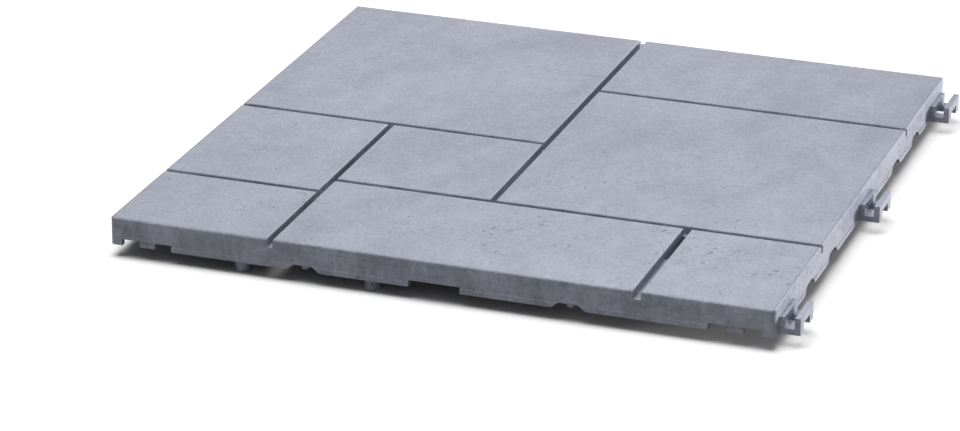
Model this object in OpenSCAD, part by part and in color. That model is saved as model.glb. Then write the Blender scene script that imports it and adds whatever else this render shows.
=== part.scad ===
// Interlocking deck tile: one moulded piece with a stone-pattern face, a
// ribbed underside, hooks on two sides and receivers on the two opposite ones.
// Millimetres. z = 0 is the level floor the tile stands on; the face is up.

/* [Body] */
// Side of the square body, hooks left out
tile = 400; // [300:1:500]
// Height of the side walls, from their lower rim to the face
body_h = 17.2; // [14:0.1:24]
// Thickness of the face plate
plate_t = 5.0; // [4:0.1:7]
// Thickness of the outer walls
wall_t = 3.8; // [3:0.1:5]
// Radius of the upright corners of the body
corner_r = 2.5; // [1:0.1:5]
// How far the band along the rim stands out from the side walls
skirt_in = 0.25; // [0.2:0.05:1]
// Height of that band
skirt_h = 3.2; // [2:0.1:5]
// Radius along the edges of the face
edge_r = 1.5; // [0.5:0.25:3]

/* [Stones] */
// Width of the two stones in the left front corner
stone_a_w = 100; // [70:1:130]
// Depth of the stone in the left front corner
stone_a_d = 80; // [60:1:95]
// Width of the stone in the right front corner
stone_c_w = 80; // [60:1:110]
// Depth of the two stones at the right of the front row
stone_c_d = 100; // [80:1:120]
// Width of the stone in the left back corner
stone_f_w = 200; // [170:1:230]
// Distance of that stone from the front
stone_f_at = 200; // [170:1:230]
// Depth of the stone in the right back corner
stone_h_d = 100; // [70:1:130]

/* [Face grooves] */
// Width of a groove between its rounded lips
groove_w = 3.7; // [2.6:0.1:5]
// Width of the right front groove between its lips
wide_groove_w = 5.0; // [3.4:0.1:6.5]
// Radius of a groove's lips
lip_r = 0.8; // [0.3:0.1:1.5]
// How much narrower a groove is at its floor
groove_draft = 0.4; // [0:0.1:1]
// Depth of a groove
groove_d = 5.2; // [3:0.1:6]
// Plastic left under a groove
groove_skin = 2.6; // [2:0.1:4]
// Width of the raised band under a groove
groove_band_w = 11; // [8:0.1:14]
// Width of a drain slit
slit_w = 2.2; // [1.5:0.1:3]
// Length of the short drain slit
slit_l = 10; // [6:0.5:16]
// Distance of the short drain slit's middle from the left side
slit_at = 29.5; // [15:0.5:32]
// Least plastic between a drain slit and a rib
slit_gap = 3; // [1.5:0.1:6]
// Distance of the right drain slit's front end from the front
slit_right_at = 61.5; // [55:0.5:80]
// Least plastic between that slit and the crossing groove
slit_end_gap = 0.5; // [0.3:0.1:3]

/* [Ribs] */
// Thickness of a plain rib
rib_t = 3.4; // [2.5:0.1:4.5]
// Width of a waved band
band_t = 14; // [8:0.1:18]
// Radius in the corners of the cells
cell_r = 3; // [1.5:0.1:5]
// Depth of a drain arch; each flank is twice as long
arch_d = 5; // [3:0.2:7]
// Flat length at the crown of a drain arch
arch_flat = 7; // [3:0.5:12]
// Depth of the arches in the front and back walls; each flank is twice as long
front_arch_d = 3.4; // [2:0.2:6]
// Flat length at the crown of those arches
front_arch_flat = 9.2; // [4:0.2:14]
// Width of the ledge round the foot of a cell
foot_t = 0.6; // [0.3:0.1:1]
// Height of that ledge
foot_h = 2; // [1:0.1:3]
// Sideways step of the rib beside the corner cell
jog_w = 12; // [8:0.5:14]
// Width of the pocket in a waved band
band_slot_w = 4.6; // [3:0.1:6]
// Length of the pocket in a waved band
band_slot_l = 29; // [20:1:34]
// Depth of the pocket in a waved band
band_slot_d = 9; // [6:0.5:11]
// Distance of that pocket's middle from the left side
band_slot_x = 77.5; // [76:0.1:80]
// Distance of that pocket's middle from the front
band_slot_y = 304.5; // [300:0.5:320]

/* [Pegs] */
// Diameter of a peg
peg_d = 9; // [6:0.1:12]
// How far a peg stands out below the rim
peg_h = 7.8; // [3:0.1:12]
// Distance of a peg's axis from the side it stands at
peg_in = 7.5; // [5:0.1:12]
// Bevel round a peg's foot
peg_bevel = 0.8; // [0.3:0.1:2]

/* [Hooks] */
// Distance of the outer hooks' middles from the tile's corner
hook_c = 23; // [20:0.5:30]
// Length of a hook along the side
hook_l = 27; // [20:0.5:32]
// How far a hook reaches out from the side
hook_out = 12; // [10:0.1:16]
// Height of a hook above the rim
hook_h = 10.1; // [8:0.1:12]
// Thickness of the hook's inner leg, which spaces two tiles
hook_inner_t = 2.8; // [2:0.1:4]
// Thickness of the hook's outer leg
hook_outer_t = 3.4; // [2.5:0.1:5]
// Thickness of the hook's web
hook_web_t = 3.4; // [2.5:0.1:4]
// Length of the slot that takes the neighbour's tab
hook_slot_l = 13; // [10:0.5:16]
// Height of the slot's clearance under the two legs
hook_slot_h = 5.1; // [4:0.1:7]

/* [Receivers] */
// Length of a receiver's notch along the side
notch_l = 31; // [28:0.5:36]
// Depth of a receiver's notch
notch_d = 4.0; // [3.4:0.1:6]
// Length of a tab at its root
tab_l = 10.2; // [7:0.1:12]
// Length of a tab at its tip
tab_tip_l = 9.2; // [6:0.1:11]
// How far a tab's face is set back
tab_in = 0.8; // [0.3:0.1:1.5]
// Clear depth of the middle receivers' boxes, from the side's face
box_depth = 12.8; // [12:0.1:18]
// Clear length of the middle receivers' boxes
box_l = 35; // [32:0.5:42]

/* [Hidden] */
pitch_x = tile / 10;
pitch_y = tile / 8;
rim = peg_h;
top = rim + body_h;
floor_z = top - plate_t;
eps = 0.01;
shift = -(tile + hook_out) / 2;
// runs of the grooves: along y at x, from, to, width
grooves_y = [[stone_a_w, 0, stone_f_at, groove_w], [stone_f_w, stone_c_d, tile, groove_w],
             [tile - stone_c_w, 0, stone_c_d, wide_groove_w]];
// runs of the grooves: along x at y, from, to
grooves_x = [[stone_a_d, 0, stone_a_w], [stone_c_d, stone_a_w, tile],
             [stone_f_at, 0, stone_f_w], [tile - stone_h_d, stone_f_w, tile]];
band_cols = [2, 4, 6, 8];
hook_spots = [hook_c, tile / 2, tile - hook_c];
jog_y = pitch_y / 2;
jog_x = pitch_x + jog_w;
reach = rib_t + 2 * cell_r;

// half thickness of the long member in column line i
function half_x(i) = (i == 2 || i == 4 || i == 6 || i == 8) ? band_t / 2 : rib_t / 2;
function lo_x(i) = i == 0 ? wall_t : i * pitch_x + half_x(i);
function hi_x(i) = i == 9 ? tile - wall_t : (i + 1) * pitch_x - half_x(i + 1);
function lo_y(j) = j == 0 ? wall_t : j * pitch_y + rib_t / 2;
function hi_y(j) = j == 7 ? tile - wall_t : (j + 1) * pitch_y - rib_t / 2;

module round_rect(x0, y0, x1, y1, r) {
  translate([x0 + r, y0]) square([x1 - x0 - 2 * r, y1 - y0]);
  translate([x0, y0 + r]) square([x1 - x0, y1 - y0 - 2 * r]);
  for (x = [x0 + r, x1 - r], y = [y0 + r, y1 - r])
    translate([x, y]) circle(r = r, $fn = 32);
}

module box_at(x0, y0, z0, x1, y1, z1) {
  translate([x0, y0, z0]) cube([x1 - x0, y1 - y0, z1 - z0]);
}

// a cell under the plate, with a small ledge round its foot
module cell(x0, y0, x1, y1) {
  translate([0, 0, rim - 1]) linear_extrude(floor_z - foot_h - rim + 1)
    round_rect(x0, y0, x1, y1, cell_r);
  translate([0, 0, rim]) linear_extrude(floor_z - rim)
    round_rect(x0 + foot_t, y0 + foot_t, x1 - foot_t, y1 - foot_t, cell_r - foot_t);
}

module cells() {
  for (i = [0:9], j = [0:7])
    if (j > 0 || i > 1) cell(lo_x(i), lo_y(j), hi_x(i), hi_y(j));
  // the corner cell and its neighbour share a stepped rib
  cell(lo_x(0), lo_y(0), hi_x(0), hi_y(0));
  cell(lo_x(0), lo_y(0), jog_x - rib_t / 2, jog_y - rib_t / 2);
  cell(lo_x(1), jog_y + rib_t / 2, hi_x(1), hi_y(0));
  cell(jog_x + rib_t / 2, lo_y(0), hi_x(1), hi_y(0));
}

// outline of a drain arch, crown up, rim along x; each flank is two equal arcs
module arch_2d(flat, d) {
  f = flat / 2;
  r = 1.25 * d;
  difference() {
    polygon([[-f - 2 * d, -1], [f + 2 * d, -1], [f + 2 * d, 0], [f, d], [-f, d], [-f - 2 * d, 0]]);
    for (s = [-1, 1]) translate([s * (f + 2 * d), r]) circle(r = r, $fn = 48);
  }
  for (s = [-1, 1])
    intersection() {
      translate([s * f, d - r]) circle(r = r, $fn = 48);
      polygon([[s * f, d], [s * f, d + 2], [s * (f + d + 2), d + 2],
               [s * (f + d + 2), d / 2], [s * (f + d), d / 2]]);
    }
}

// an arch through a wall that runs along x, centred at x, y
module arch_x(x, y, t, flat, d) {
  translate([x, y + t / 2, rim]) rotate([90, 0, 0]) linear_extrude(t) arch_2d(flat, d);
}

// an arch through a wall that runs along y
module arch_y(x, y, t) {
  translate([x - t / 2, y, rim]) rotate([90, 0, 90]) linear_extrude(t) arch_2d(arch_flat, arch_d);
}

module arches() {
  // outer walls
  for (y = [1.5, 2.5, 5.5, 6.5]) {
    arch_y(wall_t / 2, y * pitch_y, wall_t + 2);
    arch_y(tile - wall_t / 2, y * pitch_y, wall_t + 2);
  }
  for (x = [3, 7])
    difference() {
      union() {
        arch_x(x * pitch_x, wall_t / 2, wall_t + 2, front_arch_flat, front_arch_d);
        arch_x(x * pitch_x, tile - wall_t / 2, wall_t + 2, front_arch_flat, front_arch_d);
      }
      box_at(x * pitch_x - rib_t / 2, wall_t, 0, x * pitch_x + rib_t / 2, tile - wall_t, top);
    }
  // waved bands
  for (i = band_cols, j = [0:7])
    arch_y(i * pitch_x, (j + 0.5) * pitch_y, band_t + 1);
  // cross ribs dip at both sides of every second long rib
  for (i = [1, 3, 5, 7, 9], j = [1:7])
    difference() {
      arch_x(i * pitch_x, j * pitch_y, rib_t + 2 * cell_r, arch_flat, arch_d);
      box_at(i * pitch_x - rib_t / 2, j * pitch_y - reach, 0, i * pitch_x + rib_t / 2, j * pitch_y + reach, top);
    }
}

// cross-section of a groove, the face along y = 0
module groove_2d(w) {
  h = w / 2;
  f = (w - groove_draft) / 2;
  difference() {
    polygon([[-f, -groove_d], [f, -groove_d], [h, -lip_r], [h + lip_r, -lip_r], [h + lip_r, 1],
             [-h - lip_r, 1], [-h - lip_r, -lip_r], [-h, -lip_r]]);
    for (s = [-1, 1]) translate([s * (h + lip_r), -lip_r]) circle(r = lip_r, $fn = 32);
  }
}

module groove_cut(l, w) {
  // along +x from the origin, centred on y = 0, cut down from the face
  translate([0, 0, top]) rotate([90, 0, 90]) linear_extrude(l) groove_2d(w);
}

module groove_runs() {
  for (g = grooves_y) {
    a = g[1] == 0 ? -1 : g[1];
    b = g[2] == tile ? tile + 1 : g[2];
    translate([g[0], a, 0]) rotate([0, 0, 90]) groove_cut(b - a, g[3]);
  }
  for (g = grooves_x) {
    a = g[1] == 0 ? -1 : g[1];
    b = g[2] == tile ? tile + 1 : g[2];
    translate([a, g[0], 0]) groove_cut(b - a, groove_w);
  }
}

// cutter that rounds one straight edge of the face, along +x from the origin
module edge_cut() {
  translate([-1, 0, top]) rotate([90, 0, 90]) linear_extrude(tile + 2)
    difference() {
      translate([-1, -edge_r]) square([1 + edge_r, 1 + edge_r]);
      translate([edge_r, -edge_r]) circle(r = edge_r, $fn = 32);
    }
}

module edge_cuts() {
  far = tile - skirt_in;
  translate([0, skirt_in, 0]) edge_cut();
  translate([skirt_in, 0, 0]) mirror([1, -1, 0]) edge_cut();
  translate([0, far, 0]) mirror([0, 1, 0]) edge_cut();
  translate([far, 0, 0]) mirror([1, 0, 0]) mirror([1, -1, 0]) edge_cut();
}

module groove_bands() {
  z0 = top - groove_d - groove_skin;
  for (g = grooves_y)
    box_at(g[0] - groove_band_w / 2, max(g[1], 1), z0, g[0] + groove_band_w / 2, min(g[2], tile - 1), top - 1);
  for (g = grooves_x)
    box_at(max(g[1], 1), g[0] - groove_band_w / 2, z0, min(g[2], tile - 1), g[0] + groove_band_w / 2, top - 1);
}

// a drain slit at the left of the floor of a groove that runs along y
module slit_y(x, w, y0, y1) {
  x0 = x - (w - groove_draft) / 2;
  box_at(x0, y0, rim - 1, x0 + slit_w, y1, top - 1);
}

module slits() {
  box_at(slit_at - slit_l / 2, stone_a_d - slit_w / 2, rim - 1,
         slit_at + slit_l / 2, stone_a_d + slit_w / 2, top - 1);
  g = rib_t / 2 + slit_gap;
  slit_y(stone_a_w, groove_w, wall_t + slit_gap, pitch_y - g);
  slit_y(stone_a_w, groove_w, pitch_y + g, stone_a_d - slit_gap);
  slit_y(stone_a_w, groove_w, 2 * pitch_y + g, 3 * pitch_y - g);
  slit_y(stone_a_w, groove_w, 3 * pitch_y + g, stone_f_at - g);
  slit_y(tile - stone_c_w, wide_groove_w, slit_right_at, stone_c_d - groove_w / 2 - slit_end_gap);
}

// the thin band along the rim, between the outer hooks and receivers
module skirt() {
  a = hook_c + notch_l / 2;
  b = tile - a;
  box_at(0, a, rim, 1, b, rim + skirt_h);
  box_at(tile - 1, a, rim, tile, b, rim + skirt_h);
  box_at(a, 0, rim, b, 1, rim + skirt_h);
  box_at(a, tile - 1, rim, b, tile, rim + skirt_h);
}

// receiver parts are drawn for a side along x at y = 0, middle at x = 0
module tab_notch() {
  translate([0, wall_t + 0.2, rim]) rotate([90, 0, 0]) linear_extrude(wall_t + 1.2)
    for (s = [-1, 1])
      polygon([[s * notch_l / 2, -1], [s * notch_l / 2, notch_d], [s * tab_l / 2, notch_d],
               [s * tab_tip_l / 2, 0], [s * tab_tip_l / 2, -1]]);
  box_at(-notch_l / 2, -1, rim - 1, notch_l / 2, tab_in, rim + notch_d);
}

module plain_notch() {
  box_at(-notch_l / 2, -1, rim - 1, notch_l / 2, wall_t + 0.2, rim + notch_d);
}

module box_walls() {
  w = box_l / 2 + rib_t;
  translate([0, 0, rim]) linear_extrude(top - 1 - rim)
    round_rect(-w, 1, w, box_depth + rib_t, 2);
}

module box_room() {
  translate([0, 0, rim - 1]) linear_extrude(floor_z - rim + 1)
    round_rect(-box_l / 2, wall_t, box_l / 2, box_depth, 1.2);
}

module on_side_y0(x) { translate([x, 0, 0]) children(); }
module on_side_x0(y) { translate([0, y, 0]) mirror([1, -1, 0]) children(); }

// a hook on a side along x, reaching out in +y, middle at x = 0
module hook() {
  difference() {
    translate([-hook_l / 2, 0, rim]) rotate([90, 0, 90]) linear_extrude(hook_l)
      polygon([[-1, 0], [hook_out, 0], [hook_out, hook_h], [hook_out - hook_outer_t, hook_h],
               [hook_out - hook_outer_t, hook_web_t], [hook_inner_t, hook_web_t],
               [hook_inner_t, hook_h], [-1, hook_h]]);
    box_at(-hook_slot_l / 2, -2, rim - 1, hook_slot_l / 2, hook_out + 1, rim + hook_slot_h);
  }
}

module hooks() {
  for (p = hook_spots) {
    translate([p, tile, 0]) hook();
    translate([tile, p, 0]) mirror([1, -1, 0]) hook();
  }
}

module peg(x, y) {
  translate([x, y, 0]) {
    cylinder(d1 = peg_d - 2 * peg_bevel, d2 = peg_d, h = peg_bevel, $fn = 48);
    translate([0, 0, peg_bevel]) cylinder(d = peg_d, h = rim + 3 - peg_bevel, $fn = 48);
  }
}

// two stand at the left of the front wall; the same two, turned about the
// middle, stand at the back
module pegs() {
  for (i = [2, 4]) {
    peg(i * pitch_x, peg_in);
    peg(tile - i * pitch_x, tile - peg_in);
  }
}

// the pocket in the first band's crest beside one cross rib
module band_slots() {
  box_at(band_slot_x - band_slot_w / 2, band_slot_y - band_slot_l / 2, rim - 1,
         band_slot_x + band_slot_w / 2, band_slot_y + band_slot_l / 2, rim + band_slot_d);
}

module tile_body() {
  difference() {
    union() {
      difference() {
        union() {
          translate([0, 0, rim]) linear_extrude(body_h)
            round_rect(skirt_in, skirt_in, tile - skirt_in, tile - skirt_in, corner_r);
          skirt();
        }
        cells();
      }
      groove_bands();
      on_side_y0(tile / 2) box_walls();
      on_side_x0(tile / 2) box_walls();
      hooks();
    }
    on_side_y0(tile / 2) box_room();
    on_side_x0(tile / 2) box_room();
    on_side_y0(tile / 2) plain_notch();
    on_side_x0(tile / 2) plain_notch();
    for (p = [hook_c, tile - hook_c]) {
      on_side_y0(p) tab_notch();
      on_side_x0(p) tab_notch();
    }
    arches();
    band_slots();
    groove_runs();
    edge_cuts();
    slits();
  }
}

module deck_tile() {
  color([0.62, 0.63, 0.68])
  translate([shift, shift, 0]) {
    tile_body();
    pegs();
  }
}

deck_tile();
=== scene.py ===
"""Dresses the moulded deck tile: worn recycled plastic, a pale floor, soft light and the camera."""

import math

import bpy
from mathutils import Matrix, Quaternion, Vector


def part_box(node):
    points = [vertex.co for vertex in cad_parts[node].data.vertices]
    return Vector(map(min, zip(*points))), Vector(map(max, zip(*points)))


bl_info = {
    "name": "Interlocking deck tile",
    "version": (1, 0, 0),
    "blender": (4, 5, 0),
    "location": "3D View > Sidebar > Deck tile",
    "description": "Gives a moulded deck tile its plastic and sets it on a studio floor",
    "category": "Object",
}

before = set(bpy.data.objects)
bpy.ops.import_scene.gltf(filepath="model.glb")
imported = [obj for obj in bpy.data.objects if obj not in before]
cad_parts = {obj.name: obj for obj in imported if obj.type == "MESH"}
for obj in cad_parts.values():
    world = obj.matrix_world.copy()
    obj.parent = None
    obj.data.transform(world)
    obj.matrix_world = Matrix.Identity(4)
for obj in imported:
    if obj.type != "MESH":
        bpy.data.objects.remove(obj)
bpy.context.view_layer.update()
TILE_LO, TILE_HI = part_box("deck_tile")

# metres on the tile, the middle of whose box lies at x = 0, y = 0
# a pair says where a change begins and where it ends
HOOK = 0.012  # the hooks stand out this far from the tile's square, at the right and the back
SHADE_COMES, SHADE_ENDS = (0.0012, 0.0035), (0.0054, 0.0058)  # depths below the face over which the painted groove shade comes in and ends
RIM_CLEAR = -0.003, -0.001  # distance outside the tile's square at which the painted groove shade stops
LINE_FADE = 0.0002, 0.0007  # distance from the middle of the painted rim shadow line
WORN = 0.14, 0.33  # x less y, towards the worn corner at the front right
FAINT = -0.12, 0.04  # y, along which scars and pits grow fainter towards the back
FAR = 0.3, 2.0  # distance from the tile, over which the floor grows fully white

# degrees about z by which a pattern's long axis is turned
CLOUD_TURN, SCAR_TURN = -20, 56

FLOOR_SIZE = 24
TOP_SIZE, SIDE_SIZE = (2.0, 1.8), (0.6, 0.3)  # width and height of the two lights
SIDE_AIM = 0.2, 0, 0.02
WHITE = 1, 1, 1
BOUNCE = 0.34, 0.34, 0.345  # the floor as it lights the tile
MIRROR = 0.85, 0.85, 0.87  # the floor as glossy things show it


class TilePlastic(bpy.types.PropertyGroup):
    """Colours and surface of the recycled plastic."""

    colour: bpy.props.FloatVectorProperty(
        name="Plastic", description="Main colour of the plastic",
        default=(0.228, 0.242, 0.3), size=3, min=0, max=1, subtype="COLOR")
    pale: bpy.props.FloatVectorProperty(
        name="Pale clouding", description="Colour of the paler clouds in the plastic",
        default=(0.483, 0.506, 0.6), size=3, min=0, max=1, subtype="COLOR")
    face_tone: bpy.props.FloatProperty(
        name="Face tone", description="Least share of the pale colour on the face",
        default=0.11, min=0, max=1)
    wall_tone: bpy.props.FloatProperty(
        name="Wall tone", description="Share of the pale colour that the walls vary about",
        default=0.51, min=0, max=1)
    # this colour also paints the shade in the grooves and the shadow line along the rim
    dark: bpy.props.FloatVectorProperty(
        name="Pits, specks and dirt", description="Colour of pits, specks, dirt and the rim line",
        default=(0.06, 0.064, 0.077), size=3, min=0, max=1, subtype="COLOR")
    speck_tone: bpy.props.FloatProperty(
        name="Speck strength", description="How strong the faint specks are beside the pits",
        default=0.29, min=0, max=1)
    pit_tone: bpy.props.FloatProperty(
        name="Pit darkness", description="How much pits darken the skin",
        default=0.75, min=0, max=1)
    # painted shadow: the rim line is a dark line painted along the edge of the face, where a lip at
    # the rim would shade it
    rim_shadow_line: bpy.props.FloatProperty(
        name="Rim line place", description="How far in from the side walls the fine dark line runs",
        default=0.0015, min=0, max=0.01, unit="LENGTH", precision=5)
    shadow_line_tone: bpy.props.FloatProperty(
        name="Rim line strength", description="How dark that line is", default=0.4, min=0, max=1)
    # painted shade: how much the grooves are darkened where shade falls in them
    groove_shade_tone: bpy.props.FloatProperty(
        name="Dirt in grooves", description="How much dirt darkens the grooves",
        default=0.2, min=0, max=1)
    roughness: bpy.props.FloatProperty(
        name="Face roughness", description="How matt the face is", default=0.48, min=0, max=1)
    wall_roughness: bpy.props.FloatProperty(
        name="Wall roughness", description="How matt the walls are", default=0.3, min=0, max=1)
    shine: bpy.props.FloatProperty(
        name="Shine", description="How much the plastic mirrors", default=0.42, min=0, max=1)
    relief: bpy.props.FloatProperty(
        name="Stone relief", description="Height of the low relief on the face",
        default=0.0005, min=0, max=0.002, unit="LENGTH", precision=5)
    edge: bpy.props.FloatProperty(
        name="Edge softness", description="Radius of the softened edges",
        default=0.0006, min=0, max=0.002, unit="LENGTH", precision=5)


class TileStage(bpy.types.PropertyGroup):
    """Floor, lights and camera."""

    floor: bpy.props.FloatVectorProperty(
        name="Floor", description="Colour of the floor", default=(0.93, 0.93, 0.93),
        size=3, min=0, max=1, subtype="COLOR")
    glow: bpy.props.FloatProperty(
        name="Floor glow", description="White added to the floor where the camera sees it",
        default=0.32, min=0, max=1)
    shade: bpy.props.FloatProperty(
        name="Contact shade",
        description="Distance on each side of the tile's edge over which that white comes in",
        default=0.004, min=0.001, max=0.2, unit="LENGTH", precision=4)
    top_at: bpy.props.FloatVectorProperty(
        name="Top light place", description="Where the large light overhead hangs",
        default=(-0.3, -0.15, 2.1), size=3, subtype="TRANSLATION", unit="LENGTH")
    top_power: bpy.props.FloatProperty(
        name="Top light", description="Power of the large light overhead",
        default=42.4, min=0, unit="POWER")
    side_at: bpy.props.FloatVectorProperty(
        name="Side light place", description="Where the low light at the right back stands",
        default=(2.3, 2.1, 0.2), size=3, subtype="TRANSLATION", unit="LENGTH")
    side_power: bpy.props.FloatProperty(
        name="Side light", description="Power of the low light at the right back",
        default=125, min=0, unit="POWER")
    side_colour: bpy.props.FloatVectorProperty(
        name="Side light colour", description="Colour of the low light",
        default=(1, 0.97, 0.96), size=3, min=0, max=1, subtype="COLOR")
    sky: bpy.props.FloatProperty(
        name="Surroundings", description="Brightness of the surroundings", default=0.14, min=0)
    lens: bpy.props.FloatProperty(
        name="Lens", description="Focal length of the camera in millimetres",
        default=152.0, min=20, max=400)
    camera_at: bpy.props.FloatVectorProperty(
        name="Camera", description="Where the camera stands", default=(0.7152, -2.1909, 0.9067),
        size=3, subtype="TRANSLATION", unit="LENGTH")
    camera_to: bpy.props.FloatVectorProperty(
        name="View direction", description="Which way the camera looks",
        default=(-0.3059, 0.8753, -0.3745), size=3, subtype="DIRECTION")
    camera_roll: bpy.props.FloatProperty(
        name="Roll", description="Turn of the camera about its view axis",
        default=math.radians(0.38), subtype="ANGLE", unit="ROTATION")


class Nodes:
    """Short helpers that add and link the nodes of one material or world."""

    def __init__(self, tree):
        self.tree = tree
        tree.nodes.clear()

    def add(self, kind, **values):
        node = self.tree.nodes.new(kind)
        for key, value in values.items():
            if key.startswith("set_"):
                setattr(node, key[4:], value)
            else:
                self.feed(node.inputs[key.replace("_", " ")], value)
        return node

    def feed(self, socket, value):
        if isinstance(value, bpy.types.NodeSocket):
            self.tree.links.new(value, socket)
        else:
            socket.default_value = value

    def maths(self, kind, a, b=0.0):
        node = self.tree.nodes.new("ShaderNodeMath")
        node.operation = kind
        self.feed(node.inputs[0], a)
        self.feed(node.inputs[1], b)
        return node.outputs[0]

    def times(self, first, *others):
        for value in others:
            first = self.maths("MULTIPLY", first, value)
        return first

    def most(self, first, *others):
        for value in others:
            first = self.maths("MAXIMUM", first, value)
        return first

    def steps(self, size, turn=0.0, shift=0.0):
        """Place on the tile, counted in steps of size millimetres, turned by degrees about z."""
        size = size if isinstance(size, tuple) else (size, size, size)
        here = self.add("ShaderNodeTexCoord").outputs["Object"]
        return self.add("ShaderNodeMapping", set_vector_type="TEXTURE", Vector=here,
                        Location=(shift, shift, 0), Rotation=(0, 0, math.radians(turn)),
                        Scale=[v / 1000 for v in size]).outputs[0]

    def parts(self, vector):
        """The x, y and z of a vector."""
        return self.add("ShaderNodeSeparateXYZ", Vector=vector).outputs

    def outside(self, *axes):
        """How far a place lies outside the tile's square, along the axes given, in metres."""
        here = self.parts(self.add("ShaderNodeTexCoord").outputs["Object"])
        beyond = []
        for i in axes:
            from_middle = self.maths("ABSOLUTE", self.maths("ADD", here[i], HOOK / 2))
            half = (TILE_HI[i] - TILE_LO[i] - HOOK) / 2
            beyond.append(self.maths("SUBTRACT", from_middle, half))
        return self.most(*beyond)

    def noise(self, size, detail=2.0, rough=0.5, twist=0.0, turn=0.0):
        return self.add("ShaderNodeTexNoise", Vector=self.steps(size, turn), Scale=1.0,
                        Detail=detail, Roughness=rough, Distortion=twist).outputs["Fac"]

    def ramp(self, value, low, high, to_low=0.0, to_high=1.0, smooth=True):
        node = self.tree.nodes.new("ShaderNodeMapRange")
        node.interpolation_type = "SMOOTHSTEP" if smooth else "LINEAR"
        for i, v in enumerate((value, low, high, to_low, to_high)):
            self.feed(node.inputs[i], v)
        return node.outputs[0]

    def blend(self, start, *parts):
        """start plus each value, ramped from 0.3 to 0.7 and given its weight."""
        for value, weight in parts:
            start = self.maths("ADD", self.ramp(value, 0.3, 0.7, 0.0, weight), start)
        return start

    def mix(self, factor, a, b):
        node = self.tree.nodes.new("ShaderNodeMix")
        node.data_type = "RGBA"
        self.feed(node.inputs[0], factor)
        self.feed(node.inputs[6], a)
        self.feed(node.inputs[7], b)
        return node.outputs[2]

    def pits(self, size, share, reach, turn=0.0, shift=0.0, soft=0.08):
        """Marks in a share of the cells of a cell pattern, each up to reach of its cell."""
        cells = self.add("ShaderNodeTexVoronoi", Vector=self.steps(size, turn, shift), Scale=1.0)
        pick = self.add("ShaderNodeSeparateColor", Color=cells.outputs["Color"])
        chosen = self.maths("LESS_THAN", pick.outputs[0], share)
        inside = self.maths("SUBTRACT", self.ramp(pick.outputs[1], 0, 1, reach * 0.3, reach, False),
                            cells.outputs["Distance"])
        return self.times(chosen, self.ramp(inside, 0.0, soft))


def rgba(colour):
    return (*colour, 1.0)


class Spot:
    """Tells where a point of the tile lies: depth is in metres, all else runs from 0 to 1."""

    def __init__(self, n):
        facing = n.parts(n.add("ShaderNodeNewGeometry").outputs["Normal"])
        here = n.parts(n.steps(1000))
        self.face = n.ramp(facing[2], 0.5, 0.9)
        self.wall = n.maths("SUBTRACT", 1.0, self.face)
        self.front = n.ramp(facing[1], -0.9, -0.5, 1.0, 0.0)
        self.above = n.ramp(facing[2], -0.6, -0.3)
        self.depth = n.maths("SUBTRACT", TILE_HI[2], here[2])
        self.worn = n.ramp(n.maths("SUBTRACT", here[0], here[1]), *WORN)
        self.bold = n.ramp(here[1], *FAINT, 1.0, 0.5)


def plastic_tone(n, p, spot, mottle, grain):
    """Clouds, patches, mottling and grain, drawn out along the flow, and streaks on the walls."""
    clouds = n.noise((50, 115, 60), 3, 0.55, 0.5, turn=CLOUD_TURN)
    patches = n.noise((15, 24, 15), 2, 0.5, turn=-12)
    face = n.blend(n.times(spot.worn, 0.2),
                   (clouds, 0.2), (patches, 0.13), (mottle, 0.15), (grain, 0.26))
    face = n.maths("ADD", face, p.face_tone)

    streaks, bands = n.noise((4, 4, 16), 2), n.noise((60, 60, 2.2), 2)
    wall = n.blend(0.0, (patches, 0.34), (streaks, 0.16), (mottle, 0.16), (bands, 0.14),
                   (grain, 0.2))
    # the front side is the most scuffed, so its tones lie further apart
    spread = n.ramp(spot.front, 0, 1, 1.0, 1.4, False)
    wall = n.maths("ADD", n.times(n.maths("SUBTRACT", wall, 0.5), spread), p.wall_tone)
    return n.maths("ADD", n.times(face, spot.face), n.times(wall, spot.wall))


def rim_shadow_line(n, p, spot, mottle):
    """A painted shadow line, fine and broken, where the face turns down into the right and left
    walls.
    """
    line = n.maths("ABSOLUTE", n.maths("ADD", n.outside(0), p.rim_shadow_line))
    broken = n.ramp(mottle, 0.35, 0.6, 0.5, 1.0)
    return n.times(n.ramp(line, *LINE_FADE, 1.0, 0.0), broken, spot.face, p.shadow_line_tone)


def groove_painted_shade(n, p, spot):
    """Painted shade down in the grooves, where they lie in shadow; none on the outer walls or the
    underside.
    """
    return n.times(n.ramp(spot.depth, *SHADE_COMES), n.ramp(spot.depth, *SHADE_ENDS, 1.0, 0.0),
                   n.ramp(n.outside(0, 1), *RIM_CLEAR, 1.0, 0.0), spot.above, p.groove_shade_tone)


def plastic_marks(n, p, spot, scarred):
    """Faint specks all over, pits alone and in loose groups, and scars slanting over the face."""
    groups = n.ramp(n.noise(30, 2, 0.6, turn=70), 0.53, 0.62)

    small, large = n.pits((4.6, 9.6, 4.6), 0.6, 0.165), n.pits((9, 17, 9), 0.3, 0.11, shift=0.004)
    specks = n.times(n.most(small, large), n.ramp(spot.face, 0, 1, 0.12, 1.0), p.speck_tone)

    deep = n.times(n.pits((2.4, 4.8, 2.4), 0.14, 0.36), groups, spot.face, 0.8)
    lone = n.times(n.pits((9, 17, 9), 0.07, 0.11, shift=0.002, soft=0.05), spot.face)
    long_scars = n.pits((6.5, 1.7, 1.7), 0.17, 0.42, turn=SCAR_TURN)
    fine_scars = n.times(n.pits((4.6, 1.5, 1.5), 0.4, 0.36, turn=SCAR_TURN + 4, shift=0.003), 0.36)
    scars = n.times(n.most(long_scars, fine_scars), scarred)

    holes = n.times(n.pits(2.6, 0.1, 0.4), groups, spot.wall, n.ramp(spot.front, 0, 1, 0.3, 1.0))
    return n.most(specks, n.times(n.most(deep, lone, scars), spot.bold), holes)


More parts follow.
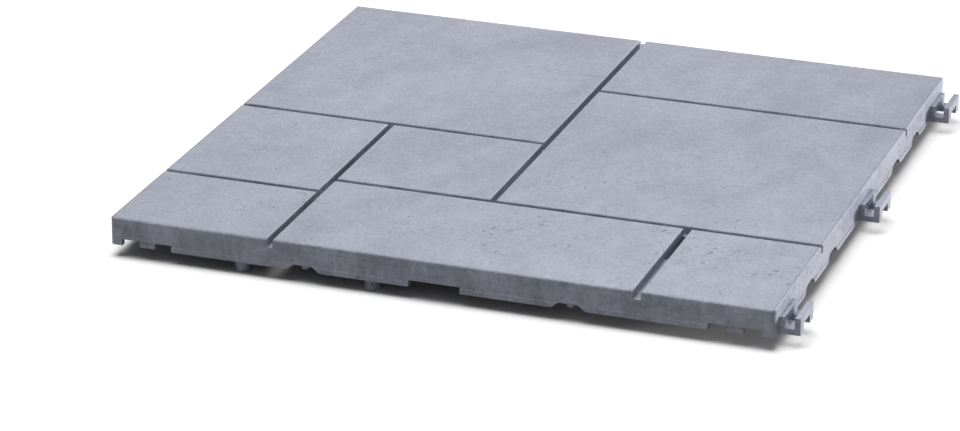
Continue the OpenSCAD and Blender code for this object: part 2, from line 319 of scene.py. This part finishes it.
def plastic_height(n, spot, mottle, grain, marks, scarred):
    """Low slate relief on the face and a fine skin everywhere, with the marks sunk in."""
    broad = n.ramp(n.noise((28, 44, 40), 4, 0.55, 0.5, turn=CLOUD_TURN), 0.25, 0.75)
    flakes = n.ramp(n.noise((6.5, 2.2, 4), 2, 0.5, turn=SCAR_TURN), 0.35, 0.65)
    relief = n.times(n.maths("ADD", broad, n.times(flakes, scarred, 0.32)), spot.face)
    skin = n.maths("ADD", n.times(mottle, 0.14), n.times(grain, 0.08))
    return n.maths("SUBTRACT", n.maths("ADD", relief, skin), n.times(marks, 0.5))


def recycled_plastic(p):
    """Blue-grey plastic: cloudy, specked, pitted and scarred, with a low slate relief."""
    mat = bpy.data.materials.new("recycled_plastic")
    mat.use_nodes = True
    n = Nodes(mat.node_tree)
    spot = Spot(n)
    mottle = n.noise((3.6, 6.4, 3.6), 3, 0.6)
    grain = n.noise((1.3, 2.3, 1.3), 2, 0.6)
    scarred = n.maths("ADD", n.noise(46, 2, 0.5), n.times(spot.worn, 0.13))
    scarred = n.times(n.ramp(scarred, 0.55, 0.68), spot.face)
    marks = plastic_marks(n, p, spot, scarred)

    colour = n.mix(plastic_tone(n, p, spot, mottle, grain), rgba(p.colour), rgba(p.pale))
    # the painted rim shadow line and the painted groove shade are mixed in here, with the real
    # marks
    for share in (rim_shadow_line(n, p, spot, mottle), groove_painted_shade(n, p, spot),
                  n.times(marks, p.pit_tone)):
        colour = n.mix(share, colour, rgba(p.dark))

    height = plastic_height(n, spot, mottle, grain, marks, scarred)
    soft = n.add("ShaderNodeBevel", set_samples=4, Radius=p.edge).outputs[0]
    bump = n.add("ShaderNodeBump", Strength=1.0, Distance=p.relief, Height=height, Normal=soft)
    rough = n.maths("ADD", n.ramp(spot.face, 0, 1, p.wall_roughness, p.roughness, False),
                    n.ramp(mottle, 0.2, 0.8, -0.05, 0.05))
    shader = n.add("ShaderNodeBsdfPrincipled", Base_Color=colour, Roughness=rough,
                   Specular_IOR_Level=p.shine, Normal=bump.outputs[0])
    out = n.add("ShaderNodeOutputMaterial")
    n.feed(out.inputs["Surface"], shader.outputs[0])
    return mat


def studio_floor(s):
    """A pale floor, white to the camera but for a painted shade under the tile, over the lamps' own
    shadow; it bounces little light.
    """
    mat = bpy.data.materials.new("studio_floor")
    mat.use_nodes = True
    n = Nodes(mat.node_tree)
    path = n.add("ShaderNodeLightPath").outputs
    mirrored = n.most(path["Is Glossy Ray"], path["Is Transmission Ray"])
    seen = path["Is Camera Ray"]
    tint = n.mix(seen, n.mix(mirrored, rgba(BOUNCE), rgba(MIRROR)), rgba(s.floor))
    matt = n.add("ShaderNodeBsdfDiffuse", Color=tint)

    away = n.outside(0, 1)
    # the white glow is left out under the tile and along its edge: painted contact shade
    glow = n.times(n.ramp(away, -s.shade, s.shade), seen, n.ramp(away, *FAR, s.glow, 1.0))
    light = n.add("ShaderNodeEmission", Color=rgba(WHITE), Strength=glow)
    both = n.add("ShaderNodeAddShader")
    n.feed(both.inputs[0], matt.outputs[0])
    n.feed(both.inputs[1], light.outputs[0])
    out = n.add("ShaderNodeOutputMaterial")
    n.feed(out.inputs["Surface"], both.outputs[0])
    return mat


class DECKTILE_OT_dress_tile(bpy.types.Operator):
    """Give the moulded tile its recycled plastic"""

    bl_idname = "decktile.dress_tile"
    bl_label = "Dress the tile"

    def execute(self, context):
        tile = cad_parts["deck_tile"]
        if not tile.material_slots:
            raise RuntimeError("the tile has no material slot")
        mat = recycled_plastic(context.scene.tile_plastic)
        for slot in tile.material_slots:
            slot.material = mat
        return {"FINISHED"}


class DECKTILE_OT_build_stage(bpy.types.Operator):
    """Make the floor, the lights and the camera"""

    bl_idname = "decktile.build_stage"
    bl_label = "Build the stage"

    def light(self, context, name, at, aim, size, power, colour=WHITE, mirrored=True):
        data = bpy.data.lights.new(name, "AREA")
        data.shape = "RECTANGLE"
        data.size, data.size_y = size
        data.energy, data.color = power, colour
        lamp = bpy.data.objects.new(name, data)
        lamp.visible_glossy = mirrored
        context.scene.collection.objects.link(lamp)
        lamp.location = at
        lamp.rotation_euler = (Vector(aim) - Vector(at)).to_track_quat("-Z", "Y").to_euler()

    def execute(self, context):
        s = context.scene.tile_stage
        bpy.ops.mesh.primitive_plane_add(size=FLOOR_SIZE, location=(0, 0, TILE_LO[2]))
        floor = context.object
        floor.name = "floor"
        floor.data.materials.append(studio_floor(s))

        self.light(context, "top_light", s.top_at, (0, 0, 0), TOP_SIZE, s.top_power)
        self.light(context, "side_light", s.side_at, SIDE_AIM, SIDE_SIZE, s.side_power,
                   s.side_colour, mirrored=False)

        world = bpy.data.worlds.new("surroundings")
        context.scene.world = world
        world.use_nodes = True
        n = Nodes(world.node_tree)
        path = n.add("ShaderNodeLightPath").outputs
        seen = n.most(path["Is Camera Ray"], path["Is Glossy Ray"], path["Is Transmission Ray"])
        strength = n.ramp(seen, 0.0, 1.0, s.sky, 1.0, smooth=False)
        back = n.add("ShaderNodeBackground", Color=rgba(WHITE), Strength=strength)
        out = n.add("ShaderNodeOutputWorld")
        n.feed(out.inputs["Surface"], back.outputs[0])

        data = bpy.data.cameras.new("camera")
        camera = bpy.data.objects.new("camera", data)
        context.scene.collection.objects.link(camera)
        data.lens, data.sensor_width = s.lens, 36
        data.clip_start, data.clip_end = 0.05, 60
        camera.location = s.camera_at
        camera.rotation_mode = "QUATERNION"
        turn = Vector(s.camera_to).to_track_quat("-Z", "Y")
        camera.rotation_quaternion = turn @ Quaternion((0, 0, 1), s.camera_roll)
        context.scene.camera = camera
        context.scene.view_settings.view_transform = "Standard"
        return {"FINISHED"}


class DECKTILE_PT_panel(bpy.types.Panel):
    """Lists the steps and sizes of the deck tile"""

    bl_idname = "DECKTILE_PT_panel"
    bl_label = "Deck tile"
    bl_space_type = "VIEW_3D"
    bl_region_type = "UI"
    bl_category = "Deck tile"

    def draw(self, context):
        for group in (context.scene.tile_plastic, context.scene.tile_stage):
            for key in group.__annotations__:
                self.layout.prop(group, key)
        for step in STEPS:
            self.layout.operator(step.bl_idname)


STEPS = (DECKTILE_OT_dress_tile, DECKTILE_OT_build_stage)
CLASSES = (TilePlastic, TileStage, *STEPS, DECKTILE_PT_panel)


def register():
    for cls in CLASSES:
        bpy.utils.register_class(cls)
    bpy.types.Scene.tile_plastic = bpy.props.PointerProperty(type=TilePlastic)
    bpy.types.Scene.tile_stage = bpy.props.PointerProperty(type=TileStage)


def unregister():
    del bpy.types.Scene.tile_plastic
    del bpy.types.Scene.tile_stage
    for cls in reversed(CLASSES):
        bpy.utils.unregister_class(cls)


def main():
    register()
    bpy.ops.decktile.dress_tile()
    bpy.ops.decktile.build_stage()


if __name__ == "__main__":
    main()
